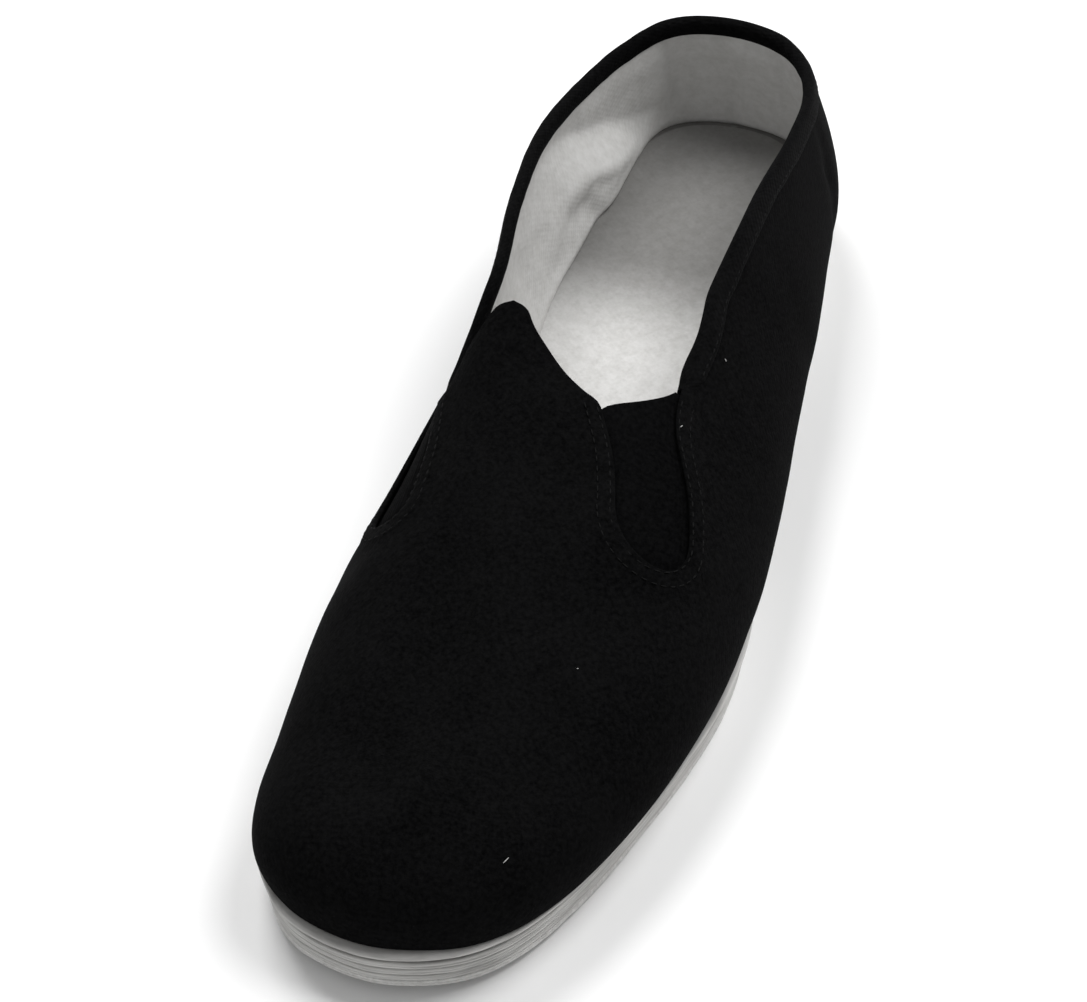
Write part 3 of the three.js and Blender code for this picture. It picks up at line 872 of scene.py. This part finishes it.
def from_slot(side, along, girth):
    """Distance on the cloth from the edge of a gore's slot."""
    radius = side.gore_width / 2
    inner = tongue_edge(side, max(along, THROAT))
    middle = (inner + inner + side.gore_width) / 2
    past = (along - GORE_END) * SOLE_LENGTH + radius
    return math.hypot(max(0, past), girth - middle) - radius


@lru_cache(None)
def collar_turn(side, row):
    r = rib(side.sign, row, 0)
    along = section(row).along
    column = 1 if side.sign > 0 else 2
    free = turn_at_height(r, COLLAR_HEIGHT * lookup(COLLAR_ROWS, column, along))
    corner = turn_at_girth(r, quarter_edge(side, along))
    return mix(free, corner, smooth((along - COLLAR_DIP) / (TONGUE_TIP - COLLAR_DIP)))


TIP_ROW = row_at(TONGUE_TIP)
END_ROW = row_at(GORE_END)
COLLAR_STATIONS = [TIP_ROW * i / 44 for i in range(45)]
FREE_STATIONS = [row_at(mix(TONGUE_TIP, THROAT, i / 15)) for i in range(16)]
SLOT_STATIONS = [row_at(mix(THROAT, GORE_END, math.sin(i / 22 * math.pi / 2))) for i in range(1, 23)]
VAMP_STATIONS = [mix(END_ROW, LAST_ROW, i / 72) for i in range(73)]
QUARTER_STATIONS = COLLAR_STATIONS + FREE_STATIONS[1:] + SLOT_STATIONS
TONGUE_STATIONS = FREE_STATIONS + SLOT_STATIONS
QUARTER_COLUMNS = 22
TONGUE_COLUMNS = 12


@lru_cache(None)
def quarter_top(side, row, setback):
    """Turn of the quarter's upper edge: the collar, and further on the slot's outer edge."""
    r = rib(side.sign, row, 0)
    along = section(row).along
    if row <= TIP_ROW:
        turn = collar_turn(side, row)
        return turn_at_girth(r, girth_to(r, turn) + setback)
    return turn_at_girth(r, quarter_edge(side, along) - round_end(side, along) + setback)


@lru_cache(None)
def tongue_bottom(side, row, setback):
    """Turn of the tongue's edge, and further on the slot's inner edge."""
    r = rib(side.sign, row, 0)
    along = section(row).along
    return turn_at_girth(r, max(0, tongue_edge(side, along) + round_end(side, along) - setback))


# Creases of the upper, in millimetres of the sole's plan: start, end, width and depth. A negative depth
# is a soft ridge.
UPPER_CREASES = (
    ((-11, -34), (-10, -112), 4.5, 1.3),
    ((-2, -42), (-4, -118), 5.0, -1.0),
    ((-24, -20), (-28, -60), 5.0, 0.5),
    ((-34, -70), (-8, -58), 6.0, 0.45),
    ((8, -66), (38, -52), 6.5, 0.4),
    ((-38, -52), (-24, -30), 4.5, 0.5),
    ((30, -96), (6, -108), 7.0, 0.35),
    ((-38, -96), (-12, -104), 7.0, 0.35),
    ((26, -30), (44, -40), 4.5, 0.4),
)


# Upright buckles of the two quarters: share of the length at the foot and how much it shifts with each
# millimetre of height, width as a share of the length, and depth.
BUCKLES = {
    1: ((0.1638, -0.0012, 0.0065, 1.7), (0.34, -0.0009, 0.017, 0.5)),
    -1: ((0.2, 0.001, 0.015, 0.6), (0.37, -0.001, 0.018, 0.7)),
}
BUCKLE_MIDDLE = 22
BUCKLE_TALL = 14


def side_wrinkle(side, along, height):
    """Depth of the buckles, most halfway up the wall."""
    upright = math.exp(-((height - BUCKLE_MIDDLE) / BUCKLE_TALL) ** 2)
    return upright * sum(
        deep * math.exp(-((along - start - lean * height) / wide) ** 2)
        for start, lean, wide, deep in BUCKLES[side.sign]
    )


def hem_rise(side, along, girth):
    """Height of the hem that is stitched round a gore."""
    away = from_slot(side, along, girth)
    if along < THROAT and girth < quarter_edge(side, along) - 1:
        return 0
    shown = smooth((along - QUARTER_FRONT) / 0.02)
    return HEM_RISE * shown * (1 - smooth((away - HEM_WIDE) / HEM_SOFT + 0.5))


def upper_relief(side, row, turn, x, y, z):
    """How far the cloth stands out from the last."""
    r = rib(side.sign, row, 0)
    along = section(row).along
    girth = girth_to(r, turn)
    height = z - r.base
    down = smooth(height / 6)
    uneven = 0.28 * ripple(x, y, z, 30, 1) + 0.16 * ripple(x, y, z, 11, 2)
    folds = trough(x, y, UPPER_CREASES) * smooth((height - 5) / 12) + side_wrinkle(side, along, height)
    return hem_rise(side, along, girth) + down * (uneven - folds)


def shell_place(side, row, turn, grow, relief):
    """A point of the cloth, pushed out along the rib's own normal, and its place on the flat cloth."""
    r = rib(side.sign, row, grow)
    point = rib_point(r, turn)
    rise = relief(side, row, turn, *point)
    if rise:
        other = rib(side.sign, row, round(grow + 1, 5))
        outward = rib_point(other, turn) - point
        point = point + outward * rise
    along = section(row).along
    return at(*point), (side.sign * girth_to(r, turn) * MM, -lengthwise(along) * MM)


def face_up(bm):
    """Turn the faces of a sheet that mostly looks up to its outer side."""
    if sum(face.normal.z * face.calc_area() for face in bm.faces) < 0:
        bmesh.ops.reverse_faces(bm, faces=bm.faces)


def shell(name, grow, setback, slot_setback, relief, foot):
    """The upper as one sheet: both quarters, the tongue and the vamp, joined at the slots' ends."""
    bm = bmesh.new()

    def quarter(side):
        stations = QUARTER_STATIONS

        def place(i, j):
            row = stations[i]
            edge = setback if row <= TIP_ROW else slot_setback
            top = quarter_top(side, row, edge if row < END_ROW - 1e-9 else 0)
            return foot(side, row, top * j / QUARTER_COLUMNS, grow, relief)

        patch(bm, len(stations) - 1, QUARTER_COLUMNS, place)

    def tongue(side):
        def place(i, j):
            row = TONGUE_STATIONS[i]
            low = tongue_bottom(side, row, slot_setback if row < END_ROW - 1e-9 else 0)
            return foot(side, row, mix(low, 1, j / TONGUE_COLUMNS), grow, relief)

        patch(bm, len(TONGUE_STATIONS) - 1, TONGUE_COLUMNS, place)

    def vamp(side):
        start = quarter_top(side, END_ROW, 0)
        parts = QUARTER_COLUMNS + TONGUE_COLUMNS

        def place(i, j):
            row = VAMP_STATIONS[i]
            even = QUARTER_COLUMNS / parts
            middle = mix(start, even, smooth(i / 30))
            if j <= QUARTER_COLUMNS:
                turn = middle * j / QUARTER_COLUMNS
            else:
                turn = mix(middle, 1, (j - QUARTER_COLUMNS) / TONGUE_COLUMNS)
            return foot(side, row, turn, grow, relief)

        patch(bm, len(VAMP_STATIONS) - 1, parts, place)

    for side in (LATERAL, MEDIAL):
        quarter(side)
        tongue(side)
        vamp(side)
    close_up(bm, 0.02)
    face_up(bm)
    return link_piece(name, bm)


def turned_in(side, row, turn, grow, relief):
    """The lower edge is turned in and drawn down on to the sole."""
    point, spot = shell_place(side, row, turn, grow, relief)
    if turn <= 0:
        inner = rib_point(rib(side.sign, row, round(grow - 0.1, 5)), 0)
        point = at(inner.x, inner.y, inner.z - 0.26)
    return point, spot


def give_wall(piece, thick, rim_round):
    wall = piece.modifiers.new("wall", "SOLIDIFY")
    wall.thickness = thick * MM
    wall.offset = -1
    wall.use_even_offset = False
    soft = piece.modifiers.new("soft", "SUBSURF")
    soft.levels = rim_round
    soft.render_levels = rim_round


black_cotton = cloth_material("black_cotton", (0.0008, 0.0008, 0.0009), (0.0046, 0.0046, 0.0048), 900, 0.45,
                              threads=threads_per(0.8), weave_depth=0.05, sheen=0.004, gloss=0.02)
cloth = shell("upper_cloth", 0, 0, 0, upper_relief, turned_in)
give_wall(cloth, CLOTH_THICK, 1)
cloth.data.materials.append(black_cotton)
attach(cloth, "root")
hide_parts("upper")


# The lining is soft white cotton on thin wadding, sewn in with the collar's binding. It puffs out at
# the inner ankle and hangs in upright folds round the heel.
LINING_FACE = -1.35
LINING_THICK = 0.65

# How far the wadding bulges in on the inner side at shares of the length, the height where it ends
# and how long its slope is.
WADDING = (
    (0.0, 0.0, 12, 8), (0.03, 1.8, 12, 8), (0.06, 5.0, 13, 8), (0.1, 8.0, 19, 8), (0.14, 9.6, 25, 9),
    (0.168, 8.6, 30, 11), (0.2, 8.4, 34, 15), (0.26, 7.4, 39, 26), (0.32, 6.4, 41, 34), (0.38, 5.0, 40, 36),
    (0.44, 3.0, 36, 34), (0.52, 1.0, 28, 26),
)
# Creases of the lining on the inner side: share of the length and height at both ends, width and depth.
LINING_CREASES = (
    ((0.178, 15), (0.15, 3), 1.7, 1.3), ((0.15, 17), (0.136, 11), 1.3, 0.9),
    ((0.12, 16), (0.128, 10), 1.2, 0.7), ((0.215, 27), (0.2, 12), 2.0, 1.0),
    ((0.26, 24), (0.25, 6), 2.4, 0.9), ((0.31, 27), (0.3, 10), 2.6, 0.9),
)
# Round the heel a stiffer panel stands in between two places across the shoe, beside a soft fold.
HEEL_FROM = 100
HEEL_PANEL = (0.4, 12.8)
PANEL_RISE = 1.3
PANEL_SOFT = 1.8
FOLD_PLACE = -15.5
FOLD_RISE = 1.1
FOLD_SOFT = 2.2


def lining_relief(side, row, turn, x, y, z):
    """How far the lining stands in from the wall, as a negative rise."""
    r = rib(side.sign, row, 0)
    along = section(row).along
    height = z - r.base
    free = smooth((girth_to(r, turn) - girth_to(r, quarter_top(side, row, 0))) / 9) if row < TIP_ROW else 1
    free *= smooth(height / 3)
    inwards = 0.35 + 0.4 * ripple(x, y, z, 17, 5) + 0.25 * ripple(x, y, z, 7, 6)
    if side.sign < 0:
        ceiling = lookup(WADDING, 2, along)
        slope = lookup(WADDING, 3, along)
        inwards += lookup(WADDING, 1, along) * (1 - smooth((height - ceiling + slope) / slope))
        for (a1, h1), (a2, h2), wide, deep in LINING_CREASES:
            crease = ((a1 * SOLE_LENGTH, h1), (a2 * SOLE_LENGTH, h2), wide, deep)
            inwards -= trough(along * SOLE_LENGTH, height, (crease,))
    if y > HEEL_FROM:
        left, right = HEEL_PANEL
        inwards += PANEL_RISE * smooth((x - left) / PANEL_SOFT) * (1 - smooth((x - right) / PANEL_SOFT))
        inwards += FOLD_RISE * smooth((FOLD_PLACE - x) / FOLD_SOFT) * smooth((height - 4) / 10)
    return -max(0, inwards) * free


lining_cotton = cloth_material("lining_cotton", (0.56, 0.555, 0.54), LINING_COLOR, 420, 0.2,
                               threads=threads_per(0.9), weave_depth=0.03)
lining = shell("upper_lining", LINING_FACE, 0.6, 1.2, lining_relief, shell_place)
give_wall(lining, LINING_THICK, 1)
lining.data.materials.append(lining_cotton)
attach(lining, "root")
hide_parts("upper")


# Each gore is a piece of black elastic webbing with fine ribs, let in behind the slot's edges and
# sewn under the hem. Its top edge runs straight from the quarter's corner to the throat.
GORE_FACE = -1.2
GORE_THICK = 0.8
GORE_UNDER = 2.2
GORE_PUFF = 0.45
GORE_SAG = 1.75
GORE_STEPS = 34
GORE_COLUMNS = 26


def gore_top(side, along):
    down = clamp((along - QUARTER_FRONT) / (THROAT - QUARTER_FRONT)) ** GORE_SAG
    return mix(quarter_edge(side, QUARTER_FRONT), tongue_edge(side, THROAT), down)


def gore_piece(side):
    start = QUARTER_FRONT + GORE_SHOULDER / SOLE_LENGTH
    radius = side.gore_width / 2 + GORE_UNDER
    end = GORE_END + GORE_UNDER / SOLE_LENGTH

    def place(i, j):
        along = mix(start, end, math.sin(i / GORE_STEPS * math.pi / 2))
        left = (end - along) * SOLE_LENGTH
        lost = 0 if left >= radius else radius - math.sqrt(max(0, radius ** 2 - (radius - left) ** 2))
        near = tongue_edge(side, max(along, THROAT)) - GORE_UNDER + lost
        near = max(near, gore_top(side, along))
        far = quarter_edge(side, along) + GORE_UNDER - lost
        girth = mix(far, near, j / GORE_COLUMNS)
        row = row_at(along)
        open_ground = -from_slot(side, along, girth)
        rise = GORE_PUFF * smooth(open_ground / 3)
        r = rib(side.sign, row, round(GORE_FACE + rise, 4))
        turn = turn_at_girth(rib(side.sign, row, 0), girth)
        return at(*rib_point(r, turn)), (girth * MM, along * SOLE_LENGTH * MM)

    bm = bmesh.new()
    patch(bm, GORE_STEPS, GORE_COLUMNS, place)
    close_up(bm, 0.02)
    face_up(bm)
    return link_piece(f"gore_{side.name}_elastic", bm)


def elastic_material():
    made = cloth_material("black_elastic", (0.001, 0.001, 0.0011), (0.004, 0.004, 0.0042), 900, 0.2,
                          sheen=0.002, rough=0.9, gloss=0.01)
    tree = made.node_tree
    apart = node(tree, "ShaderNodeSeparateXYZ")
    feed(tree, apart.inputs[0], node(tree, "ShaderNodeUVMap").outputs["UV"])
    turns = node(tree, "ShaderNodeMath", operation="MULTIPLY")
    feed(tree, turns.inputs[0], apart.outputs["X"])
    feed(tree, turns.inputs[1], 2 * math.pi / (1.1 * MM))
    ribs = node(tree, "ShaderNodeMath", operation="SINE")
    feed(tree, ribs.inputs[0], turns.outputs[0])
    bump = node(tree, "ShaderNodeBump")
    feed(tree, bump.inputs["Height"], ribs.outputs[0])
    feed(tree, bump.inputs["Strength"], 0.35)
    feed(tree, bump.inputs["Distance"], 0.09 * MM)
    shader = tree.nodes["Principled BSDF"]
    feed(tree, bump.inputs["Normal"], shader.inputs["Normal"].links[0].from_socket)
    feed(tree, shader.inputs["Normal"], bump.outputs["Normal"])
    return made


black_elastic = elastic_material()
for side in (LATERAL, MEDIAL):
    piece = gore_piece(side)
    give_wall(piece, GORE_THICK, 1)
    piece.data.materials.append(black_elastic)
    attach(piece, "root")
    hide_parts(f"gore_{side.name}")


# The collar is bound with black cotton tape, folded over cloth and lining from one gore round the heel
# to the other and sewn through. Its fold is soft and round.
TAPE_DOWN = 4.6
TAPE_INSIDE = 3.0
TAPE_TOP = 1.3
TAPE_ROLL = 0.9
TAPE_OUT = 0.75
TAPE_THICK = 0.6
TAPE_FRONT = 0.483
TAPE_FADE = 0.022
TAPE_ARC = 10
TAPE_LEG = ((-0.35, 1.0), (-0.05, 0.8), (0.0, 0.5))


def tape_profile():
    """Outer face of the fold from its outside edge over the top to its inside edge: out and down."""
    half = WALL / 2 + TAPE_OUT
    middle = -WALL / 2
    crown = TAPE_TOP + TAPE_ROLL
    points = [(middle + half + out, TAPE_DOWN * down) for out, down in TAPE_LEG]
    for k in range(TAPE_ARC + 1):
        angle = math.pi * k / TAPE_ARC
        points.append((middle + half * math.cos(angle), TAPE_ROLL - crown * math.sin(angle)))
    points += [(middle - half - out, TAPE_INSIDE * down) for out, down in reversed(TAPE_LEG)]
    return points


def tape_piece():
    profile = tape_profile()
    rows = [TIP_ROW * i / 110 for i in range(111)]
    rows += [row_at(mix(TONGUE_TIP, TAPE_FRONT, i / 8)) for i in range(1, 9)]
    bm = bmesh.new()
    for side in (LATERAL, MEDIAL):

        def place(i, j):
            row = rows[i]
            out, down = profile[j]
            along = section(row).along
            travelled = along * SOLE_LENGTH * side.sign
            out += 0.12 * ripple(travelled, j * 0.3, 0, 3.2, 12) + 0.15 * ripple(travelled, 0, 0, 14, 13)
            if abs(down) > 3:
                down += 0.3 * ripple(travelled, out, 0, 6, 14)
            thin = smooth((TAPE_FRONT - along) / TAPE_FADE)
            out = mix(clamp(out, -WALL + 0.1, -0.1), out, thin)
            down *= mix(0.3, 1, thin)
            r = rib(side.sign, row, round(out, 3))
            edge = girth_to(r, collar_turn(side, row))
            return at(*rib_point(r, turn_at_girth(r, edge + down))), (travelled * MM, j * 0.8 * MM)

        patch(bm, len(rows) - 1, len(profile) - 1, place)
    close_up(bm, 0.02)
    high = max(bm.faces, key=lambda face: face.calc_center_median().z)
    if high.normal.z < 0:
        bmesh.ops.reverse_faces(bm, faces=bm.faces)
    return link_piece("collar_tape", bm)


black_tape = cloth_material("black_tape", (0.001, 0.001, 0.0011), (0.0044, 0.0044, 0.0046), 800, 0.2,
                            threads=threads_per(0.7), weave_depth=0.1, sheen=0.004, rough=0.9, gloss=0.03)
tape = tape_piece()
give_wall(tape, TAPE_THICK, 1)
tape.data.materials.append(black_tape)
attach(tape, "root")
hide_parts("collar_binding")


# Black sewing thread holds the hem round each gore in two rows and the tape along the collar in one.
SEAM_PITCH = 2.3
SEAM_LONG = 1.7
SEAM_WIDE = 0.4
SEAM_HIGH = 0.24
SEAM_ROWS = (1.1, 4.1)
COLLAR_SEAM = 3.4
SEAM_STEPS = 160
DOWN_TO = 0.38
UP_FROM = 0.7


def cloth_spot(side, along, girth, grow):
    r = rib(side.sign, row_at(along), grow)
    return at(*rib_point(r, turn_at_girth(r, girth)))


def sew(bm, path):
    """Beads of thread along a path of (point, outward direction)."""
    walked = 0
    for (here, outward), (there, _) in zip(path, path[1:]):
        walked += (there - here).length / MM
        if walked >= SEAM_PITCH:
            walked -= SEAM_PITCH
            bead(bm, there, (there - here).normalized(), outward, SEAM_LONG, SEAM_WIDE, SEAM_HIGH)


def slot_path(side, away):
    """A row of sewing that far from the slot's edge: down one side, round the end and up again."""
    radius = side.gore_width / 2
    centre_along = GORE_END - radius / SOLE_LENGTH
    spots = []
    for k in range(SEAM_STEPS + 1):
        f = k / SEAM_STEPS
        if f < DOWN_TO:
            along = mix(QUARTER_FRONT + 0.012, centre_along, f / DOWN_TO)
            girth = quarter_edge(side, along) + away
        elif f > UP_FROM:
            along = mix(centre_along, THROAT + 0.004, (f - UP_FROM) / (1 - UP_FROM))
            girth = tongue_edge(side, along) - away
        else:
            angle = math.pi * (f - DOWN_TO) / (UP_FROM - DOWN_TO)
            middle = (quarter_edge(side, centre_along) + tongue_edge(side, centre_along)) / 2
            along = centre_along + (radius + away) * math.sin(angle) / SOLE_LENGTH
            girth = middle + (radius + away) * math.cos(angle)
        spots.append((along, girth))
    path = []
    for along, girth in spots:
        low = cloth_spot(side, along, girth, 0)
        high = cloth_spot(side, along, girth, 1)
        outward = (high - low).normalized()
        path.append((low + outward * (hem_rise(side, along, girth) - 0.02) * MM, outward))
    return path


seams = bmesh.new()
for side in (LATERAL, MEDIAL):
    for away in SEAM_ROWS:
        sew(seams, slot_path(side, away))
    collar_path = []
    for i in range(1, 240):
        row = TIP_ROW * i / 240
        r = rib(side.sign, row, 0.62)
        turn = turn_at_girth(r, girth_to(r, collar_turn(side, row)) + COLLAR_SEAM)
        low = at(*rib_point(r, turn))
        high = at(*rib_point(rib(side.sign, row, 1.8), turn))
        collar_path.append((low, (high - low).normalized()))
    sew(seams, collar_path)
seam_thread = cloth_material("seam_thread", (0.002, 0.002, 0.0021), (0.008, 0.008, 0.0082), 1500, 0.1,
                             rough=0.7, gloss=0.06)
piece = link_piece("seam_threads", seams)
piece.data.materials.append(seam_thread)
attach(piece, "root")


# A few bits of white lint cling to the brushed cloth, as on any black cotton shoe.
LINT = (
    (21.1, -115.1, 2.1, 70), (30.2, 62.1, 1.6, 30), (32.2, 18.5, 0.8, -20), (28.8, -4.7, 0.9, 60),
    (23.9, -69.5, 0.5, 10),
)
LINT_WIDE = 0.22
LINT_COLOR = (0.5, 0.5, 0.49)

lint = bmesh.new()
ground = BVHTree.FromObject(cloth, bpy.context.evaluated_depsgraph_get())
for x, y, long, slant in LINT:
    spot, outward, _, _ = ground.ray_cast(at(x, y, 200), Vector((0, 0, -1)))
    forward = Vector((math.cos(math.radians(slant)), math.sin(math.radians(slant)), 0))
    forward = (forward - outward * forward.dot(outward)).normalized()
    bead(lint, spot + outward * 0.1 * MM, forward, outward, long, LINT_WIDE, LINT_WIDE)
piece = link_piece("lint", lint)
piece.data.materials.append(cloth_material("lint_fibre", (0.4, 0.4, 0.39), LINT_COLOR, 1500, 0.1))
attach(piece, "root")


low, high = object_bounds()
